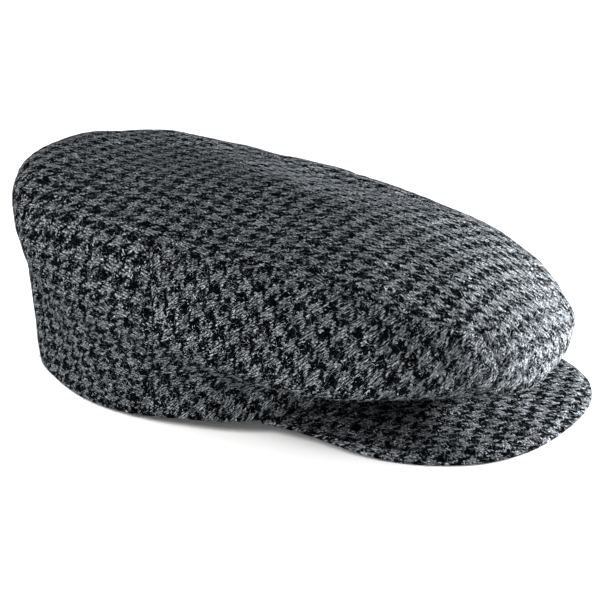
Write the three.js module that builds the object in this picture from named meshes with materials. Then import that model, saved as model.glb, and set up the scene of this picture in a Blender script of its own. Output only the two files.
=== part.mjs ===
// Flat cap in woven wool cloth, cut as one top panel, two side panels and a peak.
// Millimetres, +Z up. The front is -Y and the wearer's right is -X. The cap rests on the plane z = 0,
// on the back of its rim and on the edge of its peak.

import * as THREE from 'three';

const { lerp, degToRad, euclideanModulo, smoothstep } = THREE.MathUtils;

// Driving sizes of the crown.
const OPENING_CENTRE_Y = 25; // centre of the head opening, about which all angles are measured
const APEX_HEIGHT = 93; // height of the crown over that centre
const CLOTH_THICKNESS = 2; // wool cloth with its facing
const SEAM_GAP = 0.4; // clearance between neighbouring pieces

// Half sections of the crown, alike on both sides. The angle is in degrees from the front, and each
// level is [reach from the opening's centre, height]. Along a section the rise is 0 at the rim and 1 at
// the apex, with the levels at even steps between.
const LEVELS = ['rim', 'waist', 'bulge', 'shoulder', 'top'];
const CROWN_SECTIONS = [
  { angle: 0, rim: [101, 20], waist: [134, 16.8], bulge: [161, 40], shoulder: [134, 65], top: [73, 84] },
  { angle: 12, rim: [100, 19], waist: [127, 20], bulge: [158, 40], shoulder: [132, 65], top: [71, 84] },
  { angle: 28, rim: [96, 15], waist: [110, 24], bulge: [147, 38], shoulder: [124, 66], top: [67, 84] },
  { angle: 50, rim: [91, 7], waist: [94, 24], bulge: [123, 40], shoulder: [105, 68], top: [56, 84.5] },
  { angle: 75, rim: [86, 4], waist: [90, 26], bulge: [102, 48], shoulder: [88, 74], top: [48, 86] },
  { angle: 100, rim: [85, 0.8], waist: [92, 31], bulge: [99, 56], shoulder: [85, 78], top: [46, 88] },
  { angle: 130, rim: [90, 0], waist: [96, 40], bulge: [104, 72], shoulder: [97, 85.5], top: [52, 91] },
  { angle: 155, rim: [102, 0], waist: [107, 47], bulge: [112, 82], shoulder: [106, 94.5], top: [62, 94] },
  { angle: 180, rim: [102, 0], waist: [107, 47], bulge: [116, 84], shoulder: [110, 97], top: [64, 95.5] },
];

// Soft oval dents in the crown. A positive angle is on the wearer's right, and a negative depth swells.
const FOLDS = [
  { name: 'front tacked down onto the peak', angle: -6, rise: 0.195, angleSpread: 10, riseSpread: 0.05, depth: -2.4 },
  { name: 'right pucker at the seam corner', angle: 12, rise: 0.47, angleSpread: 3, riseSpread: 0.07, depth: 2 },
  { name: 'left pucker at the seam corner', angle: -12, rise: 0.46, angleSpread: 3, riseSpread: 0.07, depth: 1 },
  { name: 'right gather over the peak', angle: 21, rise: 0.4, angleSpread: 4, riseSpread: 0.08, depth: 1.6 },
  { name: 'left gather over the peak', angle: -22, rise: 0.4, angleSpread: 4, riseSpread: 0.08, depth: 1.6 },
  { name: 'hollow on the right of the top', angle: 50, rise: 0.83, angleSpread: 26, riseSpread: 0.09, depth: 2.5 },
  { name: 'hollow on the left of the top', angle: -62, rise: 0.82, angleSpread: 26, riseSpread: 0.09, depth: 2 },
  { name: 'right swelling behind the seam', angle: 98, rise: 0.6, angleSpread: 16, riseSpread: 0.12, depth: -2 },
  { name: 'left swelling behind the seam', angle: -100, rise: 0.6, angleSpread: 16, riseSpread: 0.12, depth: -2 },
  { name: 'dent low in the back wall', angle: 150, rise: 0.24, angleSpread: 14, riseSpread: 0.1, depth: 2 },
  { name: 'dent across the left of the back', angle: -140, rise: 0.3, angleSpread: 12, riseSpread: 0.1, depth: 2 },
];
const FOLD_FADE_RISE = 0.1; // folds reach their full depth from this rise up

// Seams of the side panels, alike on both sides. The front seam keeps one angle, the back seam climbs
// from the rim to its corner, and the long seam runs over the shoulder between the two.
const FRONT_SEAM_ANGLE = 12;
const BACK_SEAM = [
  { rise: 0, angle: 88 },
  { rise: 0.12, angle: 83 },
  { rise: 0.36, angle: 76 },
  { rise: 0.5, angle: 77 },
  { rise: 0.66, angle: 84 },
];
const BACK_CORNER = BACK_SEAM.at(-1);
const LONG_SEAM = [
  { angle: FRONT_SEAM_ANGLE, rise: 0.5 },
  { angle: 20, rise: 0.555 },
  { angle: 28, rise: 0.605 },
  { angle: 36, rise: 0.645 },
  { angle: 46, rise: 0.67 },
  { angle: 62, rise: 0.67 },
  { angle: BACK_CORNER.angle, rise: BACK_CORNER.rise },
];

// Driving sizes of the peak, a stiff crescent under the front of the rim.
const PEAK_THICKNESS = 3.5;
const PEAK_LIP_THICKNESS = 1.6; // at the folded outer edge
const PEAK_LIP_START = 0.9; // share of the way out where the edge starts to thin
const PEAK_ROOT_ANGLE = 49; // half angle of the rim that it is sewn to
const PEAK_HALF_WIDTH = 75;
const PEAK_SIDE_SHIFT = 7; // how far the edge sits towards the wearer's left
const PEAK_TIP_Y = -141;
const PEAK_SIDE_Y = -43.5; // where the edge is widest
const PEAK_SQUARENESS = 2.6; // exponent of the edge's oval, 2 for an ellipse
const PEAK_EDGE_HEIGHT = 3.8; // of the lower face at the edge
const PEAK_EDGE_TILT = 4.5; // added towards the wearer's left, and taken off towards the right
const PEAK_TIP_DIP = 2; // how far the middle of the edge dips
const PEAK_DIP_FADE = 4; // power that fades the dip out sideways
const PEAK_END_FADE = 24; // power that brings the ends of the edge to the height of the root
const PEAK_END_ROUNDING = 0.5; // how far each end is drawn in to the rim
const PEAK_ROUNDING_FADE = 10; // power that keeps the rounding to the ends

// Mesh steps.
const FRONT_STEPS = 4;
const SIDE_STEPS = 22;
const BACK_STEPS = 14;
const HALF_STEPS = FRONT_STEPS + SIDE_STEPS + BACK_STEPS;
const COLUMNS = 2 * HALF_STEPS;
const WALL_ROWS = 13;
const TOP_ROWS = 9;
const PEAK_COLUMNS = 40;
const PEAK_ROWS = 8;

// Smooth curve through the named columns of a table.
function tableCurve(rows, parameter, columns, ending) {
  const samples = rows.flatMap((row) => columns.flatMap((column) => row[column]));
  const positions = rows.map((row) => row[parameter]);
  const interpolant = new THREE.CubicInterpolant(positions, samples, samples.length / rows.length);
  interpolant.settings = { endingStart: ending, endingEnd: ending };
  return (value) => Array.from(interpolant.evaluate(value));
}

const sectionValues = tableCurve(CROWN_SECTIONS, 'angle', LEVELS, THREE.ZeroSlopeEnding);
const backSeamAngle = tableCurve(BACK_SEAM, 'rise', ['angle'], THREE.ZeroCurvatureEnding);
const longSeamRise = tableCurve(LONG_SEAM, 'angle', ['rise'], THREE.ZeroCurvatureEnding);

// Signed difference of two angles, from -180 to 180.
function angleBetween(angle, from) {
  return euclideanModulo(angle - from + 180, 360) - 180;
}

// The levels of the section at any angle, as reach in x and height in z.
function sectionLevels(angle) {
  const values = sectionValues(Math.abs(angleBetween(angle, 0)));
  return LEVELS.map((level, k) => new THREE.Vector3(values[2 * k], 0, Math.max(values[2 * k + 1], 0)));
}

// A point at a reach and height, turned to its angle about the opening's centre.
function turnedPoint(angle, reach, height) {
  const turn = degToRad(angle);
  return new THREE.Vector3(-reach * Math.sin(turn), OPENING_CENTRE_Y - reach * Math.cos(turn), height);
}

// Outer face of the crown before its folds.
function crownPoint(angle, rise) {
  const opposite = sectionLevels(angle + 180).at(-1);
  const apex = new THREE.Vector3(0, 0, APEX_HEIGHT);
  const beyond = new THREE.Vector3(-opposite.x, 0, opposite.z);
  const profile = new THREE.CatmullRomCurve3([...sectionLevels(angle), apex, beyond]);
  const { x: reach, z: height } = profile.getPoint((rise * LEVELS.length) / (LEVELS.length + 1));
  return turnedPoint(angle, reach, height);
}

// Depth of all the folds together, fading out at the rim so that it stays level.
function foldDepth(angle, rise) {
  const sum = FOLDS.reduce((depth, fold) => {
    const across = angleBetween(angle, fold.angle) / fold.angleSpread;
    const along = (rise - fold.rise) / fold.riseSpread;
    return depth + fold.depth * Math.exp(-across * across - along * along);
  }, 0);
  return sum * smoothstep(rise, 0, FOLD_FADE_RISE);
}

// Angle of a grid column, counted in steps from the front, at a share of the way up to the long seam.
function columnAngle(step, share) {
  const [back] = backSeamAngle(share * BACK_CORNER.rise);
  if (step <= FRONT_STEPS) return (FRONT_SEAM_ANGLE * step) / FRONT_STEPS;
  if (step <= FRONT_STEPS + SIDE_STEPS) return lerp(FRONT_SEAM_ANGLE, back, (step - FRONT_STEPS) / SIDE_STEPS);
  return lerp(back, 180, (step - FRONT_STEPS - SIDE_STEPS) / BACK_STEPS);
}

// Angle and rise of one grid point. The wall's rows end on the long seam, and the top's rows go on to the apex.
function gridPlace(row, column) {
  const step = Math.abs(column);
  const share = Math.min(row / WALL_ROWS, 1);
  const [seam] = longSeamRise(columnAngle(step, 1));
  const rise = row <= WALL_ROWS ? share * seam : lerp(seam, 1, (row - WALL_ROWS) / TOP_ROWS);
  return { angle: Math.sign(column) * columnAngle(step, share), rise };
}

// Name of the panel that a grid cell belongs to, from its row and the middle of its columns.
function panelName(row, column) {
  const step = Math.abs(column);
  const onSide = step > FRONT_STEPS && step < FRONT_STEPS + SIDE_STEPS;
  if (row >= WALL_ROWS || !onSide) return 'top_panel';
  return column > 0 ? 'side_panel_right' : 'side_panel_left';
}

// Triangles of cells with three or four corners, anticlockwise from outside.
function cellTriangles(cells) {
  return cells.flatMap(([a, b, c, d]) => (d === undefined ? [a, b, c] : [a, b, c, a, c, d]));
}

function meshGeometry(points, indices) {
  const geometry = new THREE.BufferGeometry().setFromPoints(points);
  geometry.setIndex(indices);
  geometry.computeVertexNormals();
  return geometry;
}

function vertexNormals(points, cells) {
  const { normal } = meshGeometry(points, cellTriangles(cells)).attributes;
  return points.map((point, k) => new THREE.Vector3().fromBufferAttribute(normal, k));
}

// Closed wall between an outer and an inner face that share their cells.
function shellGeometry(outer, inner, cells) {
  const count = outer.length;
  const faces = cellTriangles(cells);
  const indices = [...faces, ...faces.map((vertex) => vertex + count).reverse()];
  const edges = new Set(cells.flatMap((cell) => cell.map((from, k) => `${from} ${cell[(k + 1) % cell.length]}`)));
  for (const edge of edges) {
    const [from, to] = edge.split(' ').map(Number);
    if (!edges.has(`${to} ${from}`)) {
      indices.push(to, from, from + count, to, from + count, to + count);
    }
  }
  return meshGeometry([...outer, ...inner], indices);
}

// The whole crown as one grid: its outer points, the wall's offset at each, and its cells by panel.
function crownGrid() {
  const rows = WALL_ROWS + TOP_ROWS;
  const columns = Array.from({ length: COLUMNS }, (_, k) => k + 1 - HALF_STEPS);
  const places = [];
  for (let row = 0; row < rows; row += 1) {
    places.push(...columns.map((column) => gridPlace(row, column)));
  }
  places.push({ angle: 0, rise: 1 });
  const apex = places.length - 1;

  const cells = [];
  for (let row = 0; row < rows; row += 1) {
    columns.forEach((column, k) => {
      const next = (k + 1) % COLUMNS;
      const [low, lowNext] = [row * COLUMNS + k, row * COLUMNS + next];
      const upper = row === rows - 1 ? [apex] : [low + COLUMNS, lowNext + COLUMNS];
      const cell = [low, ...upper, lowNext];
      cell.panel = panelName(row, column + 0.5);
      cells.push(cell);
    });
  }

  const smooth = places.map(({ angle, rise }) => crownPoint(angle, rise));
  const smoothNormals = vertexNormals(smooth, cells);
  const points = smooth.map((point, k) => {
    const { angle, rise } = places[k];
    return point.clone().addScaledVector(smoothNormals[k], -foldDepth(angle, rise));
  });
  const wall = vertexNormals(points, cells).map((normal, k) => {
    const { angle, rise } = places[k];
    const behindPeak = Math.abs(angle) > PEAK_ROOT_ANGLE;
    if (rise === 0 && behindPeak) normal.setZ(0); // there the rim's lower face is level across the cloth
    return normal.setLength(CLOTH_THICKNESS);
  });
  return { places, points, wall, cells };
}

// One panel of the crown, drawn back from its seams by half of their gap.
function panelGeometry({ places, points, wall, cells }, panel) {
  const ownCells = cells.filter((cell) => cell.panel === panel);
  const otherCorners = new Set(cells.filter((cell) => cell.panel !== panel).flat());
  const inward = new Map();
  for (const cell of ownCells) {
    const centre = new THREE.Vector3();
    cell.forEach((vertex) => centre.addScaledVector(points[vertex], 1 / cell.length));
    for (const vertex of cell) {
      const sum = inward.get(vertex) ?? new THREE.Vector3();
      inward.set(vertex, sum.add(centre).sub(points[vertex]));
    }
  }

  const vertices = [...inward.keys()];
  const outer = vertices.map((vertex) => {
    if (!otherCorners.has(vertex)) return points[vertex].clone();
    const shift = inward.get(vertex).clone();
    if (places[vertex].rise === 0) shift.setZ(0);
    return points[vertex].clone().add(shift.setLength(SEAM_GAP / 2));
  });
  const inner = outer.map((point, k) => point.clone().sub(wall[vertices[k]]));
  const newIndex = new Map(vertices.map((vertex, k) => [vertex, k]));
  return shellGeometry(outer, inner, ownCells.map((cell) => cell.map((vertex) => newIndex.get(vertex))));
}

// Root of the peak's lower face, under the inside of the rim. Across runs from -1 to 1.
function peakRoot(across) {
  const angle = across * PEAK_ROOT_ANGLE;
  const [rim] = sectionLevels(angle);
  return turnedPoint(angle, rim.x - CLOTH_THICKNESS, rim.z - SEAM_GAP - PEAK_THICKNESS);
}

// Outer edge of the peak's lower face.
function peakEdge(across) {
  const turn = (across * Math.PI) / 2;
  const [sideways, forward] = [Math.abs(Math.sin(turn)), Math.max(Math.cos(turn), 0)];
  const power = 2 / PEAK_SQUARENESS;
  const x = PEAK_SIDE_SHIFT - Math.sign(across) * PEAK_HALF_WIDTH * sideways ** power;
  const y = lerp(PEAK_SIDE_Y, PEAK_TIP_Y, forward ** power);
  const dip = PEAK_TIP_DIP * forward ** PEAK_DIP_FADE;
  const height = PEAK_EDGE_HEIGHT + (PEAK_EDGE_TILT * x) / PEAK_HALF_WIDTH - dip;
  const root = peakRoot(across);
  const edge = new THREE.Vector3(x, y, lerp(height, root.z, sideways ** PEAK_END_FADE));
  return edge.lerp(root.setZ(edge.z), PEAK_END_ROUNDING * Math.abs(across) ** PEAK_ROUNDING_FADE);
}

// The peak's lower face runs straight from root to edge, and its upper face follows at the board's thickness.
function peakGeometry() {
  const [outer, inner, cells] = [[], [], []];
  for (let column = 0; column <= PEAK_COLUMNS; column += 1) {
    const across = (2 * column) / PEAK_COLUMNS - 1;
    const root = peakRoot(across);
    for (let row = 0; row <= PEAK_ROWS; row += 1) {
      const out = Math.sin((row / PEAK_ROWS) * (Math.PI / 2));
      const lower = root.clone().lerp(peakEdge(across), out);
      const thickness = lerp(PEAK_THICKNESS, PEAK_LIP_THICKNESS, smoothstep(out, PEAK_LIP_START, 1));
      inner.push(lower);
      outer.push(lower.clone().setZ(lower.z + thickness));
      if (column > 0 && row > 0) {
        const corner = outer.length - 1;
        const before = corner - PEAK_ROWS - 1;
        cells.push([before - 1, corner - 1, corner, before]);
      }
    }
  }
  return shellGeometry(outer, inner, cells);
}

function woolMesh(name, geometry, color) {
  const material = new THREE.MeshStandardMaterial({ color, roughness: 0.95, metalness: 0 });
  const mesh = new THREE.Mesh(geometry, material);
  mesh.name = name;
  return mesh;
}

const crown = crownGrid();
const cap = new THREE.Group();
cap.name = 'flat_cap';
cap.add(
  woolMesh('top_panel', panelGeometry(crown, 'top_panel'), 0x4e5355),
  woolMesh('side_panel_right', panelGeometry(crown, 'side_panel_right'), 0x464a4d),
  woolMesh('side_panel_left', panelGeometry(crown, 'side_panel_left'), 0x464a4d),
  woolMesh('peak', peakGeometry(), 0x3c4042),
);

export default cap;
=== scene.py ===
"""Flat cap in houndstooth wool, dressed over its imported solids.

Tables and shape functions are in millimetres, +Z up, with the front at -Y and the wearer's right at -X.
Objects are in metres.
"""

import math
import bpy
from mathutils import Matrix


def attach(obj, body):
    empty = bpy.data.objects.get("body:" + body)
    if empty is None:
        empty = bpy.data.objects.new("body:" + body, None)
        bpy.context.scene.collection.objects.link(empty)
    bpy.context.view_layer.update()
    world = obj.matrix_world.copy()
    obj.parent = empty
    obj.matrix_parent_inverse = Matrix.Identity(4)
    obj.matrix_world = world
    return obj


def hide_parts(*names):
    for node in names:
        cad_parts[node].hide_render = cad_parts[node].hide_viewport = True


bl_info = {
    "name": "Houndstooth flat cap",
    "version": (1, 0, 0),
    "blender": (4, 5, 0),
    "location": "View3D > Sidebar > Flat cap",
    "description": "Builds the wool panels, the peak and the studio of a houndstooth flat cap",
    "category": "Add Mesh",
}

import bpy
import numpy as np
from mathutils import Vector
from mathutils.kdtree import KDTree

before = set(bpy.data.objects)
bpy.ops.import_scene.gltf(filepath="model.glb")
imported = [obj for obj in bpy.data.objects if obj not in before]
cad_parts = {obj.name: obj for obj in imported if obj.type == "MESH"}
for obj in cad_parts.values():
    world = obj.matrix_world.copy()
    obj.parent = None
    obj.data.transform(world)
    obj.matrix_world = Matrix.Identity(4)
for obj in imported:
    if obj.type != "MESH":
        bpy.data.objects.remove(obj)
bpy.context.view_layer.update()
MM = 0.001

# Half sections of the crown, alike on both sides: degrees from the front, then reach and height at the
# rim, waist, bulge, shoulder and top. Along a section the rise is 0 at the rim and 1 at the apex.
CROWN_SECTIONS = (
    (0, (101, 20), (134, 16.8), (161, 40), (134, 65), (73, 84)),
    (12, (100, 19), (127, 20), (158, 40), (132, 65), (71, 84)),
    (28, (96, 15), (110, 24), (147, 38), (124, 66), (67, 84)),
    (50, (91, 7), (94, 24), (123, 40), (105, 68), (56, 84.5)),
    (75, (86, 4), (90, 26), (102, 48), (88, 74), (48, 86)),
    (100, (85, 0.8), (92, 31), (99, 56), (85, 78), (46, 88)),
    (130, (90, 0), (96, 40), (104, 72), (97, 85.5), (52, 91)),
    (155, (102, 0), (107, 47), (112, 82), (106, 94.5), (62, 94)),
    (180, (102, 0), (107, 47), (116, 84), (110, 97), (64, 95.5)),
)
LEVELS = 5
CROWN_PANELS = ("top_panel", "side_panel_right", "side_panel_left")
OPENING_CENTRE_Y = 25
APEX_HEIGHT = 93

# Soft oval dents: angle, rise, spread in angle, spread in rise, depth. A negative depth swells. The last
# five fill out the creases at the sides and under the bulge over the peak.
FOLDS = (
    (-6, 0.195, 10, 0.05, -2.4),
    (12, 0.47, 3, 0.07, 1),
    (-12, 0.46, 3, 0.07, 1),
    (21, 0.4, 4, 0.08, 0.8),
    (-22, 0.4, 4, 0.08, 1.6),
    (50, 0.83, 26, 0.09, 2.5),
    (-62, 0.82, 26, 0.09, 2),
    (98, 0.6, 16, 0.12, -2),
    (-100, 0.6, 16, 0.12, -2),
    (150, 0.24, 14, 0.1, 2),
    (-140, 0.3, 12, 0.1, 2),
    (64, 0.2, 9, 0.07, -4.5),
    (-64, 0.2, 9, 0.07, -4.5),
    (0, 0.3, 17, 0.06, -5),
    (36, 0.33, 17, 0.05, -3.5),
    (-36, 0.33, 17, 0.05, -3.5),
)
FOLD_FADE_RISE = 0.1

# Seams of the side panels: the front seam's angle, the back seam's rise and angle, and the long seam's
# angle and rise. A shorter seam crosses the back below the shoulder.
FRONT_SEAM_ANGLE = 12
BACK_SEAM = ((0, 88), (0.12, 83), (0.36, 76), (0.5, 77), (0.66, 84))
LONG_SEAM = ((12, 0.5), (20, 0.555), (28, 0.605), (36, 0.645), (46, 0.67), (62, 0.67), (84, 0.66))
BACK_CORNER_RISE = 0.66
YOKE_RISE = 0.5
YOKE_START = 140  # degrees from the front where the seam across the back begins
YOKE_FULL = 152

# Low swells of slack cloth: wavelength in millimetres and height, then the turn of each wave's direction in
# radians and its step from one wavelength to the next. They fade towards the rim and the seams.
SLACK = ((52, 0.5), (31, 0.35), (19, 0.18))
SLACK_TURNS = ((0.4, 1), (1.5, 1.3), (2.7, 0.7))
SLACK_RISE = 0.06
SLACK_SEAM_REACH = 12

SEAM_STEPS = 400  # points along each seam from which distances to it are taken

# A seam's groove, the low ridges beside it and the pucker along it, in millimetres.
GROOVE_DEPTH = 0.45
GROOVE_WIDTH = 1.2
RIDGE_HEIGHT = 0.25
RIDGE_PLACE = 4
RIDGE_WIDTH = 2.6
PUCKER_HEIGHT = 0.3
PUCKER_SPACING = 8.5
PUCKER_DRIFT = 13  # length over which the pucker grows and fades along a seam
PUCKER_OFFSET = 37  # keeps one seam's pucker out of step with the next one's
PUCKER_START = 2
PUCKER_REACH = 7

HEM_ROUNDING = 0.92  # share of its half thickness by which a turned edge is rounded

# Mesh steps, counted over half of the cap.
FRONT_STEPS = 18
SIDE_STEPS = 84
BACK_STEPS = 92
HALF_STEPS = FRONT_STEPS + SIDE_STEPS + BACK_STEPS
COLUMNS = 2 * HALF_STEPS
WALL_ROWS = 62
TOP_ROWS = 54
PEAK_COLUMNS = 150
PEAK_ROWS = 56


def smoothstep(value, low, high):
    share = np.clip((value - low) / (high - low), 0, 1)
    return share * share * (3 - 2 * share)


def unit(vectors):
    return vectors / np.maximum(np.linalg.norm(vectors, axis=-1, keepdims=True), 1e-9)


def table_curve(positions, values, level_ends):
    """Smooth curve through the rows of a table, whose slope at a row is the mean of those beside it."""
    positions = np.asarray(positions, float)
    values = np.asarray(values, float).reshape(len(positions), -1)
    slopes = np.diff(values, axis=0) / np.diff(positions)[:, None]
    ends = 0 if level_ends else 1
    tangents = np.vstack([slopes[:1] * ends, (slopes[1:] + slopes[:-1]) / 2, slopes[-1:] * ends])

    def curve(where):
        where = np.asarray(where, float)
        first = np.clip(np.searchsorted(positions, where, side="right") - 1, 0, len(positions) - 2)
        span = (positions[first + 1] - positions[first])[:, None]
        share = (where - positions[first])[:, None] / span
        rest = 1 - share
        start = values[first] * (1 + 2 * share) * rest**2 + tangents[first] * span * share * rest**2
        end = values[first + 1] * (3 - 2 * share) * share**2 - tangents[first + 1] * span * rest * share**2
        return start + end

    return curve


section_values = table_curve(
    [row[0] for row in CROWN_SECTIONS], [np.ravel(row[1:]) for row in CROWN_SECTIONS], level_ends=True
)
back_seam_angle = table_curve(*zip(*BACK_SEAM), level_ends=False)
long_seam_rise = table_curve(*zip(*LONG_SEAM), level_ends=False)


def angle_between(angle, start):
    return (angle - start + 180) % 360 - 180


def section_levels(angle):
    levels = section_values(np.abs(angle_between(angle, 0))).reshape(-1, LEVELS, 2)
    levels[:, :, 1] = np.maximum(levels[:, :, 1], 0)
    return levels


def turned_points(angle, reach, height):
    turn = np.radians(angle)
    return np.stack([-reach * np.sin(turn), OPENING_CENTRE_Y - reach * np.cos(turn), height], axis=-1)


def crown_points(angle, rise):
    """Outer face of the crown before its folds: a centripetal curve through the levels of each section."""
    angle, rise = np.broadcast_arrays(np.asarray(angle, float), np.asarray(rise, float))
    levels = section_levels(angle)
    opposite = section_levels(angle + 180)[:, -1:]
    below = 2 * levels[:, :1] - levels[:, 1:2]
    apex = np.broadcast_to([0.0, APEX_HEIGHT], opposite.shape)
    control = np.concatenate([below, levels, apex, opposite * [-1, 1]], axis=1)
    place = rise * LEVELS
    first = np.minimum(place.astype(int), LEVELS - 1)
    share = (place - first)[:, None]
    p0, p1, p2, p3 = (control[np.arange(len(first)), first + k] for k in range(4))
    pairs = ((p0, p1), (p1, p2), (p2, p3))
    d0, d1, d2 = (np.sqrt(np.linalg.norm(b - a, axis=1))[:, None] for a, b in pairs)
    m1 = ((p1 - p0) / d0 - (p2 - p0) / (d0 + d1) + (p2 - p1) / d1) * d1
    m2 = ((p2 - p1) / d1 - (p3 - p1) / (d1 + d2) + (p3 - p2) / d2) * d1
    rest = 1 - share
    flat = p1 * (1 + 2 * share) * rest**2 + m1 * share * rest**2
    flat += p2 * (3 - 2 * share) * share**2 - m2 * rest * share**2
    return turned_points(angle, flat[:, 0], flat[:, 1])


def fold_depth(angle, rise):
    depth = np.zeros_like(rise)
    for fold_angle, fold_rise, angle_spread, rise_spread, amount in FOLDS:
        across = angle_between(angle, fold_angle) / angle_spread
        along = (rise - fold_rise) / rise_spread
        depth += amount * np.exp(-across * across - along * along)
    return depth * smoothstep(rise, 0, FOLD_FADE_RISE)


def slack_height(points):
    """Low uneven swells, from crossed waves in fixed directions."""
    height = np.zeros(len(points))
    for k, (wavelength, amount) in enumerate(SLACK):
        for first_turn, turn_step in SLACK_TURNS:
            turn = first_turn + turn_step * k
            direction = unit(np.array([math.cos(turn), math.sin(turn), math.cos(2.1 * turn)]))
            height += amount / 2 * np.sin(2 * np.pi * (points @ direction) / wavelength + 5 * turn)
    return height


def hem_rounding(from_edge, radius):
    """How far a turned edge is rounded off at a distance from its end."""
    turned = np.clip(1 - from_edge / radius, 0, 1)
    return HEM_ROUNDING * radius * (1 - np.sqrt(1 - turned**2))


def drawn_steps(count, start, end):
    """Shares from 0 to 1 whose steps shorten towards the ends that are named true."""
    share = np.linspace(0, 1, count + 1)
    draw = 0.75
    if start and end:
        return share - draw * np.sin(2 * np.pi * share) / (2 * np.pi)
    if start:
        return share - draw * np.sin(np.pi * share) / np.pi
    return share + draw * np.sin(np.pi * share) / np.pi


def vertex_normals(points, faces):
    """Mean normals at the points of a mesh of quads. A triangle repeats its second corner."""
    normal = np.cross(points[faces[:, 2]] - points[faces[:, 0]], points[faces[:, 3]] - points[faces[:, 1]])
    total = np.zeros_like(points)
    for corner in range(4):
        np.add.at(total, faces[:, corner], normal)
    return unit(total)


class ClothLengths:
    """Lengths along the crown's surface, looked up by angle and rise, to lay flat cloth over it."""

    def __init__(self):
        self.angles = np.arange(0, 181.0)
        self.rises = np.linspace(0, 1, 101)
        angle, rise = np.meshgrid(self.angles, self.rises, indexing="ij")
        points = crown_points(angle.ravel(), rise.ravel()).reshape(*angle.shape, 3)
        up = np.linalg.norm(np.diff(points, axis=1), axis=2)
        self.from_apex = np.pad(np.cumsum(up[:, ::-1], axis=1)[:, ::-1], ((0, 0), (0, 1)))
        hoop = np.linalg.norm(np.diff(points, axis=0), axis=2)
        self.from_front = np.pad(np.cumsum(hoop, axis=0), ((1, 0), (0, 0)))
        self.height = points[:, :, 2]

    def look_up(self, table, angle, rise):
        angle, rise = np.broadcast_arrays(np.asarray(angle, float), np.asarray(rise, float))
        i = np.clip(angle.astype(int), 0, len(self.angles) - 2)
        place = rise * (len(self.rises) - 1)
        j = np.clip(place.astype(int), 0, len(self.rises) - 2)
        a, b = angle - i, place - j
        low = table[i, j] * (1 - a) + table[i + 1, j] * a
        high = table[i, j + 1] * (1 - a) + table[i + 1, j + 1] * a
        return low * (1 - b) + high * b


# Where the top's flat cloth turns into the walls' cloth: half of the turn's rise, the angles over which it
# narrows to a seam, those over which the walls' cloth stops following the top's, and the front's rises.
BACK_TURN = 0.08
BACK_TURN_FADE = (132, YOKE_START)
FOLLOW_FADE = (132, 160)
FRONT_TURN = (0.35, 0.55)
NARROWEST_TURN = 0.002  # half of a turn's rise, below which it is a seam
WALL_ANGLE = 90.0  # angle and rises at the sides from which the back's cloth takes its place
WALL_RISES = (0.6, 0.1)
TOP_SPREAD = 0.8  # share to which the cloth is stretched out at the sides of the top
TOP_EASE = 0.6  # share by which it is drawn together along the middle
TOP_EASE_REACH = 36
TOP_BOW = 0.19  # slope by which the cross threads bow forward at the sides of the top
TOP_BOW_REACH = 25


def cloth_over_top(lengths, angle, rise):
    """Flat cloth laid over the crown from its apex."""
    turn = np.radians(angle)
    length = lengths.look_up(lengths.from_apex, np.abs(angle), rise)
    across = -length * np.sin(turn)
    along = -length * np.cos(turn) + TOP_BOW * (np.hypot(across, TOP_BOW_REACH) - TOP_BOW_REACH)
    across = TOP_SPREAD * across + TOP_EASE * TOP_EASE_REACH * np.tanh(across / TOP_EASE_REACH)
    return np.stack([across, along], axis=-1)


def cloth_on_back(lengths, angle, rise):
    """Cloth hung level round the back of the crown, with its place taken from the walls at the sides."""
    side, away = np.sign(angle), np.abs(angle)
    lows = lengths.look_up(lengths.from_apex, WALL_ANGLE, WALL_RISES)
    heights = lengths.look_up(lengths.height, WALL_ANGLE, WALL_RISES)
    stretch = (lows[1] - lows[0]) / (heights[0] - heights[1])
    down = lows[0] + stretch * (heights[0] - lengths.look_up(lengths.height, away, rise))
    hoop = lengths.look_up(lengths.from_front, away, rise)
    hoop = hoop - lengths.look_up(lengths.from_front, WALL_ANGLE, rise)
    return np.stack([-side * down, hoop], axis=-1)


def top_cloth(lengths, angle, rise, above_yoke):
    """Place on flat cloth, in millimetres, of points on the top panel.

    The threads run along X and Y over the top, then level and upright down the walls.
    """
    away = np.abs(angle)
    over_top = cloth_over_top(lengths, angle, rise)
    follow = (1 - smoothstep(away, *FOLLOW_FADE))[..., None]
    step = cloth_over_top(lengths, angle, YOKE_RISE) - cloth_on_back(lengths, angle, YOKE_RISE)
    on_back = cloth_on_back(lengths, angle, rise) + step * follow
    half = BACK_TURN * (1 - smoothstep(away, *BACK_TURN_FADE))
    soft = smoothstep(rise, YOKE_RISE - half - 1e-6, YOKE_RISE + half + 1e-6)
    on_top = np.where(half > NARROWEST_TURN, soft, above_yoke)

    across = np.sign(angle) * lengths.look_up(lengths.from_front, away, rise)
    on_front = np.stack([-across, -lengths.look_up(lengths.from_apex, away, rise)], axis=-1)
    in_front = away <= FRONT_SEAM_ANGLE + 1e-6
    wall = np.where(in_front[..., None], on_front, on_back)
    share = np.where(in_front, smoothstep(rise, *FRONT_TURN), on_top)[..., None]
    return over_top * share + wall * (1 - share)


SIDE_MIDDLE = 50.0  # angle and rise about which a side panel's cloth is laid
SIDE_LEVEL_RISE = 0.4
BIAS = math.radians(45)
SIDE_PULL = ((1.13, -0.08), (0.12, 0.9))  # how sewing pulls the bias cloth out of square


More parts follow.
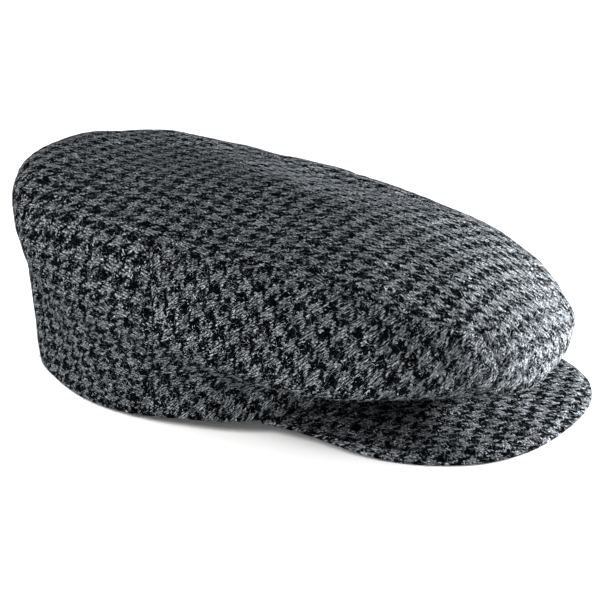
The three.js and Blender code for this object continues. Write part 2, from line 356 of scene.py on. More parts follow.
def side_cloth(lengths, angle, rise):
    """Place on flat cloth, cut on the bias, of points on a side panel."""
    side, away = np.sign(angle), np.abs(angle)
    hoop = lengths.look_up(lengths.from_front, away, rise)
    hoop = hoop - lengths.look_up(lengths.from_front, SIDE_MIDDLE, rise)
    up = lengths.look_up(lengths.from_apex, away, SIDE_LEVEL_RISE)
    up = up - lengths.look_up(lengths.from_apex, away, rise)
    along = -side * hoop
    first = along * math.cos(BIAS) - up * math.sin(BIAS)
    second = along * math.sin(BIAS) + up * math.cos(BIAS)
    return np.stack([a * first + b * second for a, b in SIDE_PULL], axis=-1)


class CrownGrid:
    """The crown as one grid of angles and rises that ends in the apex, with its cells and their panels."""

    def __init__(self, thickness):
        wall = drawn_steps(WALL_ROWS, True, True)
        top = drawn_steps(TOP_ROWS, True, False)[1:-1]
        front = drawn_steps(FRONT_STEPS, False, True)
        side = drawn_steps(SIDE_STEPS, True, True)[1:]
        back = drawn_steps(BACK_STEPS, True, True)[1:]
        share = np.concatenate([wall, np.ones(len(top))])
        seam_angle = back_seam_angle(share * BACK_CORNER_RISE)
        angle = np.concatenate(
            [
                np.broadcast_to(FRONT_SEAM_ANGLE * front, (len(share), len(front))),
                FRONT_SEAM_ANGLE + (seam_angle - FRONT_SEAM_ANGLE) * side,
                seam_angle + (180 - seam_angle) * back,
            ],
            axis=1,
        )
        seam = long_seam_rise(np.clip(angle[-1], FRONT_SEAM_ANGLE, LONG_SEAM[-1][0]))[:, 0]
        rise = np.concatenate([wall[:, None] * seam, seam + (1 - seam) * top[:, None]])
        self.rows = len(share)
        self.angle = np.append(np.concatenate([-angle[:, -2:0:-1], angle], axis=1).ravel(), 0)
        self.rise = np.append(np.concatenate([rise[:, -2:0:-1], rise], axis=1).ravel(), 1)
        self.make_faces()
        self.lengths = ClothLengths()
        self.shape_cloth(thickness)

    def make_faces(self):
        apex = self.rows * COLUMNS
        number = np.arange(apex).reshape(self.rows, COLUMNS)
        upper = np.vstack([number[1:], np.full(COLUMNS, apex)])
        corners = [number, upper, np.roll(upper, -1, 1), np.roll(number, -1, 1)]
        self.faces = np.stack(corners, axis=-1).reshape(-1, 4)
        row, column = np.divmod(np.arange(len(self.faces)), COLUMNS)
        step = np.abs(column + 1.5 - HALF_STEPS)
        on_side = (step > FRONT_STEPS) & (step < FRONT_STEPS + SIDE_STEPS) & (row < WALL_ROWS)
        right = column + 1.5 > HALF_STEPS
        self.panel = np.where(on_side, np.where(right, 1, 2), 0)

    def seam_points(self):
        """Points on the seams at even small steps: place, length along the seam and depth share."""
        found = []
        steps = np.linspace(0, 1, SEAM_STEPS)
        full = np.ones(len(steps))
        for side in (1, -1):
            corner = LONG_SEAM[0][1]
            found.append((side * FRONT_SEAM_ANGLE * full, corner * steps, full))
            rise = BACK_CORNER_RISE * steps
            found.append((side * back_seam_angle(rise)[:, 0], rise, full))
            angle = FRONT_SEAM_ANGLE + (LONG_SEAM[-1][0] - FRONT_SEAM_ANGLE) * steps
            found.append((side * angle, long_seam_rise(angle)[:, 0], full))
            angle = YOKE_START + (180 - YOKE_START) * steps
            fade = smoothstep(angle, YOKE_START, YOKE_FULL)
            found.append((side * angle, YOKE_RISE * full, fade))
        found.append((180 * full, YOKE_RISE * steps, full))
        places, along, strength = [], [], []
        for angle, rise, share in found:
            points = crown_points(angle, rise)
            length = np.append(0, np.cumsum(np.linalg.norm(np.diff(points, axis=0), axis=1)))
            places.append(points)
            along.append(length + PUCKER_OFFSET * len(along))
            strength.append(share)
        return np.concatenate(places), np.concatenate(along), np.concatenate(strength)

    def shape_cloth(self, thickness):
        """Outer and inner faces with folds, slack, seams drawn in and a turned hem at the rim."""
        smooth = crown_points(self.angle, self.rise)
        normal = vertex_normals(smooth, self.faces)
        folded = smooth - normal * fold_depth(self.angle, self.rise)[:, None]
        normal = vertex_normals(folded, self.faces)

        places, along, strength = self.seam_points()
        tree = KDTree(len(places))
        for k, place in enumerate(places):
            tree.insert(Vector(place), k)
        tree.balance()
        nearest = [tree.find(Vector(point)) for point in smooth]
        distance = np.array([found[2] for found in nearest])
        index = np.array([found[1] for found in nearest])
        share = strength[index]
        groove = GROOVE_DEPTH * np.exp(-((distance / GROOVE_WIDTH) ** 2))
        groove -= RIDGE_HEIGHT * np.exp(-(((distance - RIDGE_PLACE) / RIDGE_WIDTH) ** 2))
        pucker = PUCKER_HEIGHT * np.sin(2 * np.pi * along[index] / PUCKER_SPACING)
        pucker = pucker * np.sin(along[index] / PUCKER_DRIFT + 1)
        pucker = pucker * np.exp(-distance / PUCKER_REACH) * smoothstep(distance, 0, PUCKER_START)
        slack = slack_height(smooth) * smoothstep(self.rise, 0, SLACK_RISE)
        away = slack * smoothstep(distance, 0, SLACK_SEAM_REACH) - (groove + pucker) * share

        from_rim = self.lengths.look_up(self.lengths.from_apex, np.abs(self.angle), 0.0)
        from_rim = from_rim - self.lengths.look_up(self.lengths.from_apex, np.abs(self.angle), self.rise)
        hem = hem_rounding(from_rim, thickness / 2)
        self.outer = folded + normal * (away - hem)[:, None]
        self.inner = folded - normal * (thickness - hem)[:, None]
        self.outer[:, 2] = np.maximum(self.outer[:, 2], 0)
        self.inner[:, 2] = np.maximum(self.inner[:, 2], 0)

    def panel_shell(self, panel, gap):
        """Closed shell of one panel: points, quads and cloth places at the quads' corners."""
        own = self.panel == panel
        faces = self.faces[own]
        others = np.unique(self.faces[~own])
        used, local = np.unique(faces, return_inverse=True)
        local = local.reshape(faces.shape)
        outer = self.outer[used]
        inward = np.zeros_like(outer)
        middle = outer[local].mean(axis=1)
        for corner in range(4):
            np.add.at(inward, local[:, corner], middle - outer[local[:, corner]])
        border = np.isin(used, others)
        shift = np.where(border[:, None], unit(inward), 0)
        shift[self.rise[used] == 0, 2] = 0
        outer = outer + shift * gap / 2
        inner = self.inner[used] + shift * gap / 2

        angle = self.angle[faces]
        wraps = angle.max(axis=1) - angle.min(axis=1) > 180
        angle = np.where(wraps[:, None] & (angle == 180), -180, angle)
        angle = np.where(faces == len(self.angle) - 1, angle[:, :1], angle)
        rise = self.rise[faces]
        if panel:
            cloth = side_cloth(self.lengths, angle, rise)
        else:
            above = np.broadcast_to((rise.mean(axis=1) > YOKE_RISE)[:, None], angle.shape)
            cloth = top_cloth(self.lengths, angle, rise, above)
        return shell(outer, inner, local, cloth)


def shell(outer, inner, faces, cloth):
    """Closes an outer and an inner face that share their quads with a strip along each free edge."""
    count = len(outer)
    starts = faces.ravel()
    ends = np.roll(faces, -1, axis=1).ravel()
    keys = starts.astype(np.int64) * count + ends
    free = ~np.isin(keys, ends.astype(np.int64) * count + starts) & (starts != ends)
    start, end = starts[free], ends[free]
    strips = np.stack([end, start, start + count, end + count], axis=1)
    flat = cloth.reshape(-1, 2)[free]
    next_flat = np.roll(cloth, -1, axis=1).reshape(-1, 2)[free]
    middle = np.repeat(cloth.mean(axis=1), 4, axis=0)[free]
    edge = unit(next_flat - flat)
    out = flat - middle
    out = unit(out - edge * np.sum(out * edge, axis=1)[:, None])
    depth = np.linalg.norm(outer - inner, axis=1)[:, None]
    under, next_under = flat + out * depth[start], next_flat + out * depth[end]
    strip_cloth = np.stack([next_flat, flat, under, next_under], axis=1)
    quads = np.concatenate([faces, faces[:, ::-1] + count, strips])
    corner_cloth = np.concatenate([cloth, cloth[:, ::-1], strip_cloth])
    return np.concatenate([outer, inner]), quads, corner_cloth


# Driving sizes of the peak, a stiff crescent under the front of the rim.
PEAK_THICKNESS = 3.5
PEAK_LIP_THICKNESS = 1.6
PEAK_LIP_START = 0.9
PEAK_ROOT_ANGLE = 49
PEAK_HALF_WIDTH = 75
PEAK_SIDE_SHIFT = 7
PEAK_TIP_Y = -141
PEAK_SIDE_Y = -43.5
PEAK_SQUARENESS = 2.6
PEAK_EDGE_HEIGHT = 3.8
PEAK_EDGE_TILT = 4.5
PEAK_TIP_DIP = 2
PEAK_DIP_FADE = 4
PEAK_END_FADE = 24
PEAK_END_ROUNDING = 0.5
PEAK_ROUNDING_FADE = 10
PEAK_END_THINNING = 0.55  # share of its thickness lost at the ends, where the cloth tucks under the rim
PEAK_THINNING_START = 0.8
PEAK_GRAIN = math.radians(16)  # turn of its threads from the cap's own axes
PEAK_CLOTH_DRAW = 1.15  # cloth drawn together over the stiff board
PEAK_SLACK = 0.5  # height and fineness of its slack against the crown's
PEAK_SLACK_FINENESS = 1.4


def peak_root(across, thickness, gap):
    angle = across * PEAK_ROOT_ANGLE
    rim = section_levels(angle)[:, 0]
    return turned_points(angle, rim[:, 0] - thickness, rim[:, 1] - gap - PEAK_THICKNESS)


def peak_edge(across, root):
    turn = across * np.pi / 2
    sideways, forward = np.abs(np.sin(turn)), np.maximum(np.cos(turn), 0)
    power = 2 / PEAK_SQUARENESS
    x = PEAK_SIDE_SHIFT - np.sign(across) * PEAK_HALF_WIDTH * sideways**power
    y = PEAK_SIDE_Y + (PEAK_TIP_Y - PEAK_SIDE_Y) * forward**power
    height = PEAK_EDGE_HEIGHT + PEAK_EDGE_TILT * x / PEAK_HALF_WIDTH - PEAK_TIP_DIP * forward**PEAK_DIP_FADE
    height = height + (root[:, 2] - height) * sideways**PEAK_END_FADE
    edge = np.stack([x, y, height], axis=-1)
    level_root = np.concatenate([root[:, :2], height[:, None]], axis=1)
    return edge + (level_root - edge) * (PEAK_END_ROUNDING * np.abs(across) ** PEAK_ROUNDING_FADE)[:, None]


def peak_shell(thickness, gap):
    across = np.linspace(-1, 1, PEAK_COLUMNS + 1)
    root = peak_root(across, thickness, gap)
    edge = peak_edge(across, root)
    out = np.sin(np.linspace(0, 1, PEAK_ROWS + 1) * np.pi / 2)[:, None]
    lower = root[:, None] + (edge - root)[:, None] * out[None]
    depth = PEAK_THICKNESS + (PEAK_LIP_THICKNESS - PEAK_THICKNESS) * smoothstep(out, PEAK_LIP_START, 1)
    thinned = PEAK_END_THINNING * smoothstep(np.abs(across), PEAK_THINNING_START, 1)[:, None, None]
    depth = depth[None] * (1 - thinned)
    lower[:, :, 2:] += PEAK_THICKNESS * thinned
    reach = np.linalg.norm(edge - root, axis=1)[:, None, None] * (1 - out)[None]
    hem = hem_rounding(reach, PEAK_LIP_THICKNESS / 2)
    up = np.array([0, 0, 1.0])
    outer = (lower + up * np.maximum(depth - hem, hem)).reshape(-1, 3)
    inner = (lower + up * hem).reshape(-1, 3)
    outer = outer + up * (PEAK_SLACK * slack_height(outer * PEAK_SLACK_FINENESS)[:, None])
    number = np.arange((PEAK_COLUMNS + 1) * (PEAK_ROWS + 1)).reshape(PEAK_COLUMNS + 1, PEAK_ROWS + 1)
    corners = [number[:-1, :-1], number[1:, :-1], number[1:, 1:], number[:-1, 1:]]
    faces = np.stack(corners, axis=-1).reshape(-1, 4)
    drop = (depth - hem).reshape(-1, 1) - PEAK_THICKNESS
    outward = unit(edge - root)[:, None, :2]
    outward = np.broadcast_to(outward, (*lower.shape[:2], 2)).reshape(-1, 2)
    flat = (outer[:, :2] - outward * np.minimum(drop, 0)) * PEAK_CLOTH_DRAW
    cosine, sine = math.cos(PEAK_GRAIN), math.sin(PEAK_GRAIN)
    cloth = flat @ np.array([[cosine, -sine], [sine, cosine]])
    return shell(outer, inner, faces, cloth[faces])


def crown_shells(cloth):
    """Closed shells of the crown's panels by the node that each replaces."""
    grid = CrownGrid(cloth.thickness)
    return {node: grid.panel_shell(panel, cloth.seam_gap) for panel, node in enumerate(CROWN_PANELS)}


# Painted sheen on the nose of the crown, where the front key lamp falls: pale fibre lies thicker there over
# the dark checks to stand in for the sheen of lit nap. Distances in front of the origin and heights over
# which the fibre thickens, and how much thicker it lies there.
NOSE_SHEEN_FRONT = (98, 136)
NOSE_SHEEN_HEIGHT = (22, 36)
NOSE_SHEEN_NAP = 4

# Dyes of the fibres, each with its share of the count and how much thicker it lies on the nose as painted
# sheen.
NAP_DYES = (("pale", 0.6, NOSE_SHEEN_NAP), ("grey", 0.3, 0), ("dark", 1, 0))

# How a fibre lies: the turn from its first step to its second and its lift from the cloth, in radians, how
# the lift is spread, the spread of lengths and of the tip's lift as shares, its width at the middle as a
# share, how deep its root is sunk and how far it keeps off the floor, in millimetres.
FIBRE_BEND = 0.9
FIBRE_LEAST_LIFT = 0.06
FIBRE_LIFT = 0.9
FIBRE_LIFT_SPREAD = (1.2, 4)
FIBRE_LENGTHS = (0.45, 1.3)
FIBRE_TIP_LIFTS = (-0.6, 0.7)
FIBRE_MIDDLE_WIDTH = 0.8
FIBRE_SUNK = 0.05
FIBRE_CLEAR_OF_FLOOR = 0.05


def nap_ribbons(shells, count, length, width, seed, nose_sheen):
    """Loose fibres on the outer faces, each a tapered ribbon of two steps that bends back to the cloth."""
    corners = []
    for points, quads, _cloth in shells:
        faces = quads[quads.max(axis=1) < len(points) // 2]
        corners.append(points[faces])
    corners = np.concatenate(corners)
    normal = np.cross(corners[:, 2] - corners[:, 0], corners[:, 3] - corners[:, 1])
    area = np.linalg.norm(normal, axis=1)
    centre = corners.mean(axis=1)
    # Painted sheen: pale fibres lie thicker where the front lamps light the nose.
    painted_sheen_on_nose = smoothstep(-centre[:, 1], *NOSE_SHEEN_FRONT) * smoothstep(centre[:, 2], *NOSE_SHEEN_HEIGHT)
    weight = area * (1 + nose_sheen * painted_sheen_on_nose)
    random = np.random.default_rng(seed)
    face = random.choice(len(corners), count, p=weight / weight.sum())
    normal = normal[face] / area[face][:, None]
    a, b = random.random((2, count, 1))
    p = corners[face]
    base = (p[:, 0] * (1 - a) + p[:, 1] * a) * (1 - b) + (p[:, 3] * (1 - a) + p[:, 2] * a) * b

    helper = np.where(np.abs(normal[:, 2:]) < 0.8, [[0.0, 0.0, 1.0]], [[1.0, 0.0, 0.0]])
    first = unit(np.cross(normal, helper))
    second = np.cross(normal, first)
    turn = random.uniform(0, 2 * np.pi, (count, 1))
    bend = turn + random.uniform(-FIBRE_BEND, FIBRE_BEND, (count, 1))
    lift = random.beta(*FIBRE_LIFT_SPREAD, (count, 1)) * FIBRE_LIFT + FIBRE_LEAST_LIFT
    reach = random.uniform(*FIBRE_LENGTHS, (count, 1)) * length / 2
    heading = first * np.cos(turn) + second * np.sin(turn)
    middle = base + reach * (heading * np.cos(lift) + normal * np.sin(lift))
    tip_lift = lift * random.uniform(*FIBRE_TIP_LIFTS, (count, 1))
    heading = first * np.cos(bend) + second * np.sin(bend)
    tip = middle + reach * (heading * np.cos(tip_lift) + normal * np.sin(tip_lift))
    side = width / 2 * (second * np.cos(turn) - first * np.sin(turn))
    base = base - normal * FIBRE_SUNK
    half = side * FIBRE_MIDDLE_WIDTH
    places = np.stack([base - side, base + side, middle + half, middle - half, tip], axis=1)
    places[:, :, 2] = np.maximum(places[:, :, 2], FIBRE_CLEAR_OF_FLOOR)
    start = np.arange(count)[:, None] * 5
    return places.reshape(-1, 3), start + [0, 1, 2, 3], start + [3, 2, 4]


def hex_colour(text):
    """Linear RGBA of an sRGB hex colour."""
    parts = [int(text[k : k + 2], 16) / 255 for k in (1, 3, 5)]
    linear = [c / 12.92 if c <= 0.04045 else ((c + 0.055) / 1.055) ** 2.4 for c in parts]
    return (*linear, 1.0)


def add_node(tree, kind, settings=None, inputs=None, output=0):
    """Adds a node with its settings, values and links, and returns one of its outputs, if it has any."""
    node = tree.nodes.new(kind)
    for name, value in (settings or {}).items():
        setattr(node, name, value)
    for socket, value in (inputs or {}).items():
        if isinstance(value, bpy.types.NodeSocket):
            tree.links.new(value, node.inputs[socket])
        else:
            node.inputs[socket].default_value = value
    return node.outputs[output] if node.outputs else None


YARN_TWIST = math.radians(-6)  # fibres' slant from the thread that they are spun into

# The weave: threads in a group of one dye, threads that one passes over, the spacing of the long threads as
# a share of the cross threads' spacing, and the share of the relief that the long threads give.
DYE_GROUP = 4.0
TWILL = 2.0
LONG_THREAD_SPACING = 0.91
LONG_THREAD_RELIEF = 0.85

# Its colouring: waves of the threads' slow wander in a millimetre, flecks in a thread's spacing along and
# across the yarn, the noise at which a fleck starts and is full, how high flecks stand, the relief at which
# the painted light on a thread is full, painted shade between threads and painted light on top of one,
# brightness of the dullest and the brightest thread, then undyed hairs in a thread's spacing, the noise at
# which they start and are full, their colour.
SWAY_FINENESS = 0.11
FLECK_FINENESS = (0.36, 2.5)
FLECK_RANGE = (0.45, 0.61)
FLECK_RELIEF = 0.5
FULL_RELIEF = 0.8
PAINTED_THREAD_SHADING = (0.08, 1.15)
THREAD_TONES = (0.8, 1.2)
KEMP_FINENESS = 0.75
KEMP_RANGE = (0.71, 0.77)
KEMP_COLOUR = "#b4b8bb"


def houndstooth_wool(cloth):
    """Woollen houndstooth tweed, four dark and four grey threads each way in a two-and-two twill.

    The eye gets the broken check first, then slanting strokes of grey thread with painted shade between the
    threads, flecked with pale and dark fibres, and no shine.
    """
    name = "houndstooth wool, woven and napped"
    if name in bpy.data.materials:
        return bpy.data.materials[name]
    material = bpy.data.materials.new(name)
    material.use_nodes = True
    tree = material.node_tree
    tree.nodes.clear()
    number, vector, noise = "ShaderNodeMath", "ShaderNodeVectorMath", "ShaderNodeTexNoise"
    mix, spread = "ShaderNodeMix", "ShaderNodeMapRange"
    in_plane, in_colour = {"noise_dimensions": "2D"}, {"data_type": "RGBA"}

    # Threads wander slowly, and their edges are ragged at about half a thread.
    place = add_node(tree, "ShaderNodeAttribute", {"attribute_name": "cloth"}, output=1)
    swayed = place
    sways = ((SWAY_FINENESS, cloth.thread_sway), (1 / cloth.thread_spacing, cloth.thread_fray))
    for scale, amount in sways:
        sway = add_node(tree, noise, in_plane, {"Vector": place, "Scale": scale, "Detail": 2.0}, output=1)
        sway = add_node(tree, vector, {"operation": "SUBTRACT"}, {0: sway, 1: (0.5, 0.5, 0.5)})
        moved = {0: sway, 1: (amount, amount, amount), 2: swayed}
        swayed = add_node(tree, vector, {"operation": "MULTIPLY_ADD"}, moved)
    spacing = (cloth.thread_spacing * LONG_THREAD_SPACING, cloth.thread_spacing, 1)
    threads = add_node(tree, vector, {"operation": "DIVIDE"}, {0: swayed, 1: spacing})
    split = tree.nodes.new("ShaderNodeSeparateXYZ")
    tree.links.new(threads, split.inputs[0])

    # Which thread of each direction a place is on, how far across it, and whether it is of the dark dye.
    count, within, dark_group = [], [], []
    for axis in range(2):
        whole = add_node(tree, number, {"operation": "FLOOR"}, {0: split.outputs[axis]})
        part = add_node(tree, number, {"operation": "SUBTRACT"}, {0: split.outputs[axis], 1: whole})
        group = add_node(tree, number, {"operation": "FLOORED_MODULO"}, {0: whole, 1: 2 * DYE_GROUP})
        group = add_node(tree, number, {"operation": "LESS_THAN"}, {0: group, 1: DYE_GROUP})
        count.append(whole)
        within.append(part)
        dark_group.append(group)
    diagonal = add_node(tree, number, {"operation": "ADD"}, {0: count[0], 1: count[1]})
    diagonal = add_node(tree, number, {"operation": "FLOORED_MODULO"}, {0: diagonal, 1: 2 * TWILL})
    long_over = add_node(tree, number, {"operation": "LESS_THAN"}, {0: diagonal, 1: TWILL})
    dark = add_node(tree, mix, {}, {"Factor": long_over, "A": dark_group[1], "B": dark_group[0]})

    # Each thread is round across its width, and arches along the length where it lies on top. The relief
    # raises the bump and also paints shade between threads and light on top of them.
    rounds, floats, tones = [], [], []
    for axis in range(2):
        offset = add_node(tree, number, {"operation": "MULTIPLY_ADD"}, {0: within[axis], 1: 2.0, 2: -1.0})
        square = add_node(tree, number, {"operation": "MULTIPLY"}, {0: offset, 1: offset})
        rounds.append(add_node(tree, number, {"operation": "SUBTRACT"}, {0: 1.0, 1: square}))
        start = add_node(tree, number, {"operation": "ADD"}, {0: diagonal, 1: within[1 - axis]})
        start = add_node(tree, number, {"operation": "SUBTRACT"}, {0: start, 1: TWILL * axis})
        arch = add_node(tree, number, {"operation": "MULTIPLY"}, {0: start, 1: math.pi / TWILL})
        floats.append(add_node(tree, number, {"operation": "SINE"}, {0: arch}))
        tone = add_node(tree, "ShaderNodeTexWhiteNoise", {"noise_dimensions": "1D"}, {"W": count[axis]})
        tones.append(tone)
    over_round = add_node(tree, mix, {}, {"Factor": LONG_THREAD_RELIEF, "A": rounds[1], "B": rounds[0]})
    over_float = add_node(tree, mix, {}, {"Factor": long_over, "A": floats[1], "B": floats[0]})
    tone = add_node(tree, mix, {}, {"Factor": long_over, "A": tones[1], "B": tones[0]})
    relief = add_node(tree, number, {"operation": "MULTIPLY"}, {0: over_round, 1: over_float})

    # Flecks of mixed fibre, drawn out along the twist of the yarn. A real fibre is far finer than a pixel,
    # so these are drawn at about half a thread.
    turn = math.pi / 2 + YARN_TWIST
    coarse, fine = (flecks / cloth.thread_spacing for flecks in FLECK_FINENESS)
    along_yarn = (coarse * math.cos(turn), coarse * math.sin(turn), 0)
    across_yarn = (-fine * math.sin(turn), fine * math.cos(turn), 0)
    along = add_node(tree, vector, {"operation": "DOT_PRODUCT"}, {0: place, 1: along_yarn}, output=1)
    across = add_node(tree, vector, {"operation": "DOT_PRODUCT"}, {0: place, 1: across_yarn}, output=1)
    drawn = add_node(tree, "ShaderNodeCombineXYZ", {}, {0: along, 1: across})
    mottle = {"Vector": drawn, "Scale": 1.0, "Detail": 1.0, "Roughness": 0.5, "Distortion": 0.9}
    fleck = add_node(tree, noise, in_plane, mottle)
    limits = {"Value": fleck, "From Min": FLECK_RANGE[0], "From Max": FLECK_RANGE[1]}
    bright = add_node(tree, spread, {}, limits)
    dyed = []
    for dull, full in ((cloth.pale_shade, cloth.pale_colour), (cloth.dark_shade, cloth.dark_colour)):
        fibres = {"Factor": bright, "A": hex_colour(dull), "B": hex_colour(full)}
        dyed.append(add_node(tree, mix, in_colour, fibres, output=2))
    colour = add_node(tree, mix, in_colour, {"Factor": dark, "A": dyed[0], "B": dyed[1]}, output=2)
    # Painted shade and light: the colour is darkened between threads and lightened on top of them by their
    # relief.
    low, high = PAINTED_THREAD_SHADING
    limits = {"Value": relief, "From Max": FULL_RELIEF, "To Min": low, "To Max": high}
    shade = add_node(tree, spread, {}, limits)
    limits = {"Value": tone, "To Min": THREAD_TONES[0], "To Max": THREAD_TONES[1]}
    uneven = add_node(tree, spread, {}, limits)
    shade = add_node(tree, number, {"operation": "MULTIPLY"}, {0: shade, 1: uneven})
    colour = add_node(tree, vector, {"operation": "SCALE"}, {0: colour, "Scale": shade})

    # A few short pale hairs, caught in the yarn, that took no dye.
    kemp_scale = KEMP_FINENESS / cloth.thread_spacing
    hairs = {"Vector": place, "Scale": kemp_scale, "Detail": 1.0, "Distortion": 1.5}
    kemp = add_node(tree, noise, in_plane, hairs)
    limits = {"Value": kemp, "From Min": KEMP_RANGE[0], "From Max": KEMP_RANGE[1]}
    kemp = add_node(tree, spread, {}, limits)
    undyed = {"Factor": kemp, "A": colour, "B": hex_colour(KEMP_COLOUR)}
    colour = add_node(tree, mix, in_colour, undyed, output=2)

    height = add_node(tree, number, {"operation": "MULTIPLY_ADD"}, {0: fleck, 1: FLECK_RELIEF, 2: relief})
    raised = {"Height": height, "Strength": 1.0, "Distance": cloth.thread_relief * MM}
    bump = add_node(tree, "ShaderNodeBump", {}, raised)
    matt = {"Base Color": colour, "Normal": bump, "Roughness": 0.92, "Specular IOR Level": 0.0}
    surface = add_node(tree, "ShaderNodeBsdfPrincipled", {}, matt)
    add_node(tree, "ShaderNodeOutputMaterial", {}, {"Surface": surface})
    return material


def floor_paint(stage):
    """Matt white studio paint, rolled: even and pale, with hardly any shine."""
    material = bpy.data.materials.new("matt white studio paint, rolled")
    material.use_nodes = True
    shader = material.node_tree.nodes["Principled BSDF"]
    shader.inputs["Base Color"].default_value = hex_colour(stage.floor_colour)
    shader.inputs["Roughness"].default_value = 0.95
    shader.inputs["Specular IOR Level"].default_value = 0.1
    return material


def loose_fibre(name, colour):
    """Loose wool fibre, raised by brushing: a matt soft-edged hair of one dye."""
    material = bpy.data.materials.new(name)
    material.use_nodes = True
    shader = material.node_tree.nodes["Principled BSDF"]
    shader.inputs["Base Color"].default_value = hex_colour(colour)
    shader.inputs["Roughness"].default_value = 0.85
    shader.inputs["Specular IOR Level"].default_value = 0.0
    return material


def make_mesh(name, points, quads, cloth):
    """Mesh object in metres from millimetre points and quads, with cloth places at its corners."""
    pairs = quads != np.roll(quads, -1, axis=1)
    mesh = bpy.data.meshes.new(name)
    faces = [quad[keep].tolist() for quad, keep in zip(quads, pairs)]
    mesh.from_pydata((points * MM).tolist(), [], faces)
    corners = np.zeros((int(pairs.sum()), 3), np.float32)
    corners[:, :2] = cloth[pairs]
    mesh.attributes.new("cloth", "FLOAT_VECTOR", "CORNER").data.foreach_set("vector", corners.ravel())
    mesh.polygons.foreach_set("use_smooth", np.ones(len(faces), bool))
    if mesh.validate():
        raise RuntimeError(f"{name} has faulty faces")
    made = bpy.data.objects.new(name, mesh)
    bpy.context.scene.collection.objects.link(made)
    return made


def fit_piece(made, node, cloth):
    made.data.materials.append(houndstooth_wool(cloth))
    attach(made, "root")
    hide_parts(node)


class FLATCAP_Cloth(bpy.types.PropertyGroup):
    """Sizes of the wool cloth and how it is sewn."""

    thickness: bpy.props.FloatProperty(
        name="Thickness", description="Wool cloth with its facing, in millimetres",
        default=2.0, min=1.0, max=3.0,
    )
    seam_gap: bpy.props.FloatProperty(
        name="Seam gap", description="Clearance between neighbouring pieces, in millimetres", default=0.4
    )
    thread_spacing: bpy.props.FloatProperty(
        name="Thread spacing", description="Distance between threads, in millimetres", default=1.19
    )
    thread_sway: bpy.props.FloatProperty(
        name="Thread sway", description="How far threads wander, in millimetres", default=1.6
    )
    thread_fray: bpy.props.FloatProperty(
        name="Thread fray", description="How ragged the edges of threads are, in millimetres", default=1.2
    )
    thread_relief: bpy.props.FloatProperty(
        name="Thread relief", description="Height of a thread in millimetres", default=0.5
    )
    pale_colour: bpy.props.StringProperty(
        name="Pale thread", description="sRGB hex colour of its brightest fibres", default="#90959a"
    )
    pale_shade: bpy.props.StringProperty(
        name="Pale thread's shade", description="sRGB hex colour of its darkest fibres", default="#0a0b0c"
    )
    dark_colour: bpy.props.StringProperty(
        name="Dark thread", description="sRGB hex colour of its brightest fibres", default="#15171a"
    )
    dark_shade: bpy.props.StringProperty(
        name="Dark thread's shade", description="sRGB hex colour of its darkest fibres", default="#010101"
    )


class FLATCAP_Nap(bpy.types.PropertyGroup):
    """Loose fibres raised from the cloth."""

    count: bpy.props.IntProperty(
        name="Count", description="Fibres of the dark dye", default=38000, min=0, max=60000
    )
    length: bpy.props.FloatProperty(
        name="Length", description="Mean length of a fibre, in millimetres", default=3.0
    )
    width: bpy.props.FloatProperty(
        name="Width", description="Width of a fibre's root, in millimetres", default=0.08
    )
    pale_colour: bpy.props.StringProperty(name="Pale", description="sRGB hex colour", default="#868b90")
    grey_colour: bpy.props.StringProperty(name="Grey", description="sRGB hex colour", default="#2b2f33")
    dark_colour: bpy.props.StringProperty(name="Dark", description="sRGB hex colour", default="#020202")


class FLATCAP_Stage(bpy.types.PropertyGroup):
    """Camera, floor and lights."""

    azimuth: bpy.props.FloatProperty(
        name="Azimuth", description="Camera's turn from the front", subtype="ANGLE",
        default=math.radians(-54.5),
    )
    elevation: bpy.props.FloatProperty(
        name="Elevation", description="Camera's height above level", subtype="ANGLE",
        default=math.radians(17.5),
    )
    distance: bpy.props.FloatProperty(
        name="Distance", description="From the camera to the point it looks at", unit="LENGTH",
        default=0.816,
    )
    look_at: bpy.props.FloatVectorProperty(
        name="Look at", description="Point in the middle of the picture", default=(0, -0.006, 0.0384),
        subtype="TRANSLATION",
    )
    lens: bpy.props.FloatProperty(
        name="Lens", description="Focal length on a 36 mm sensor, in millimetres", default=106.1
    )
    floor_colour: bpy.props.StringProperty(
        name="Floor colour", description="sRGB hex colour of the floor", default="#fcfcfb"
    )


SENSOR_WIDTH = 36  # millimetres
FLOOR_REACH = 6.0  # metres from the cap to each side of the floor

# Soft square lamps: name, place and side in metres, watts. All point at the middle of the cap.
LAMPS = (
    ("low key beyond the front", (1.5, -0.75, 0.2), 0.6, 18),
    ("close key at the front", (0.37, -0.37, 0.056), 0.1, 23.5),
    ("fill from the right side", (-1.3, 0.55, 1.1), 0.9, 31),
    ("fill from the back", (-0.2, 1.6, 0.9), 0.9, 4),
)
LAMP_AIM = Vector((0, 0, 0.05))


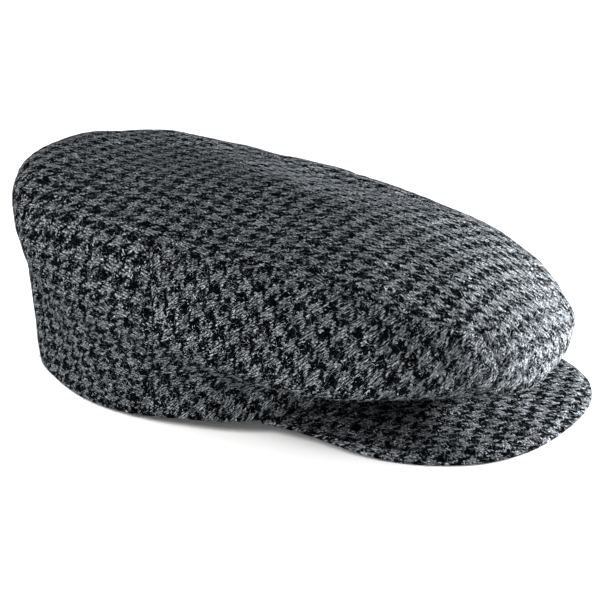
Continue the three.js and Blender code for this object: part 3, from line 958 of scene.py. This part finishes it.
class FLATCAP_OT_stage(bpy.types.Operator):
    """Adds the camera, the floor and the lights"""

    bl_idname = "flatcap.stage"
    bl_label = "Studio"

    def execute(self, context):
        stage = context.scene.flatcap_stage
        camera = bpy.data.objects.new("camera", bpy.data.cameras.new("camera"))
        context.scene.collection.objects.link(camera)
        turn, lift = stage.azimuth, stage.elevation
        level = math.cos(lift)
        back = Vector((math.sin(turn) * level, -math.cos(turn) * level, math.sin(lift)))
        camera.location = Vector(stage.look_at) + back * stage.distance
        camera.rotation_euler = (-back).to_track_quat("-Z", "Y").to_euler()
        camera.data.lens = stage.lens
        camera.data.sensor_width = SENSOR_WIDTH
        camera.data.clip_end = 20
        context.scene.camera = camera

        signs = ((-1, -1), (1, -1), (1, 1), (-1, 1))
        corners = [(FLOOR_REACH * x, FLOOR_REACH * y, 0) for x, y in signs]
        mesh = bpy.data.meshes.new("floor")
        mesh.from_pydata(corners, [], [(0, 1, 2, 3)])
        floor = bpy.data.objects.new("floor", mesh)
        floor.data.materials.append(floor_paint(stage))
        context.scene.collection.objects.link(floor)

        for name, place, side, watts in LAMPS:
            lamp = bpy.data.lights.new(name, "AREA")
            lamp.size = side
            lamp.energy = watts
            holder = bpy.data.objects.new(name, lamp)
            holder.location = place
            aim = LAMP_AIM - Vector(place)
            holder.rotation_euler = aim.to_track_quat("-Z", "Y").to_euler()
            context.scene.collection.objects.link(holder)
        context.scene.view_settings.view_transform = "Standard"
        world = bpy.data.worlds.new("pale studio")
        world.use_nodes = True
        backdrop = world.node_tree.nodes["Background"]
        backdrop.inputs["Color"].default_value = hex_colour("#ffffff")
        backdrop.inputs["Strength"].default_value = 1.0
        context.scene.world = world
        return {"FINISHED"}


class FLATCAP_OT_crown(bpy.types.Operator):
    """Adds the top panel and the two side panels of the crown"""

    bl_idname = "flatcap.crown"
    bl_label = "Crown panels"

    def execute(self, context):
        cloth = context.scene.flatcap_cloth
        for node, parts in crown_shells(cloth).items():
            fit_piece(make_mesh(f"wool_{node}", *parts), node, cloth)
        return {"FINISHED"}


class FLATCAP_OT_peak(bpy.types.Operator):
    """Adds the covered peak"""

    bl_idname = "flatcap.peak"
    bl_label = "Peak"

    def execute(self, context):
        cloth = context.scene.flatcap_cloth
        made = make_mesh("wool_peak", *peak_shell(cloth.thickness, cloth.seam_gap))
        fit_piece(made, "peak", cloth)
        return {"FINISHED"}


class FLATCAP_OT_nap(bpy.types.Operator):
    """Adds the nap, loose fibres of three dyes over the whole cap"""

    bl_idname = "flatcap.nap"
    bl_label = "Nap"

    def execute(self, context):
        nap = context.scene.flatcap_nap
        cloth = context.scene.flatcap_cloth
        shells = [*crown_shells(cloth).values(), peak_shell(cloth.thickness, cloth.seam_gap)]
        colours = {"pale": nap.pale_colour, "grey": nap.grey_colour, "dark": nap.dark_colour}
        # The pale fibres crowd the lit nose as a painted sheen.
        for seed, (dye, share, nose_sheen) in enumerate(NAP_DYES):
            count = int(nap.count * share)
            points, quads, tips = nap_ribbons(shells, count, nap.length, nap.width, seed, nose_sheen)
            mesh = bpy.data.meshes.new(f"nap_{dye}")
            mesh.from_pydata((points * MM).tolist(), [], quads.tolist() + tips.tolist())
            mesh.materials.append(loose_fibre(f"loose wool fibre, {dye}, brushed up", colours[dye]))
            made = bpy.data.objects.new(f"nap_{dye}", mesh)
            context.scene.collection.objects.link(made)
            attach(made, "root")
        return {"FINISHED"}


class FLATCAP_PT_panel(bpy.types.Panel):
    """Lists the pieces of the cap and their sizes"""

    bl_idname = "FLATCAP_PT_panel"
    bl_label = "Flat cap"
    bl_space_type = "VIEW_3D"
    bl_region_type = "UI"
    bl_category = "Flat cap"

    def draw(self, context):
        for group in (context.scene.flatcap_cloth, context.scene.flatcap_nap, context.scene.flatcap_stage):
            for name in group.__annotations__:
                self.layout.prop(group, name)
        for operator in OPERATORS:
            self.layout.operator(operator.bl_idname)


OPERATORS = (FLATCAP_OT_stage, FLATCAP_OT_crown, FLATCAP_OT_peak, FLATCAP_OT_nap)
CLASSES = (FLATCAP_Cloth, FLATCAP_Nap, FLATCAP_Stage, *OPERATORS, FLATCAP_PT_panel)


def register():
    for kind in CLASSES:
        bpy.utils.register_class(kind)
    bpy.types.Scene.flatcap_cloth = bpy.props.PointerProperty(type=FLATCAP_Cloth)
    bpy.types.Scene.flatcap_nap = bpy.props.PointerProperty(type=FLATCAP_Nap)
    bpy.types.Scene.flatcap_stage = bpy.props.PointerProperty(type=FLATCAP_Stage)


def unregister():
    del bpy.types.Scene.flatcap_cloth
    del bpy.types.Scene.flatcap_nap
    del bpy.types.Scene.flatcap_stage
    for kind in reversed(CLASSES):
        bpy.utils.unregister_class(kind)


def main():
    register()
    bpy.ops.flatcap.stage()
    bpy.ops.flatcap.crown()
    bpy.ops.flatcap.peak()
    bpy.ops.flatcap.nap()


if __name__ == "__main__":
    main()
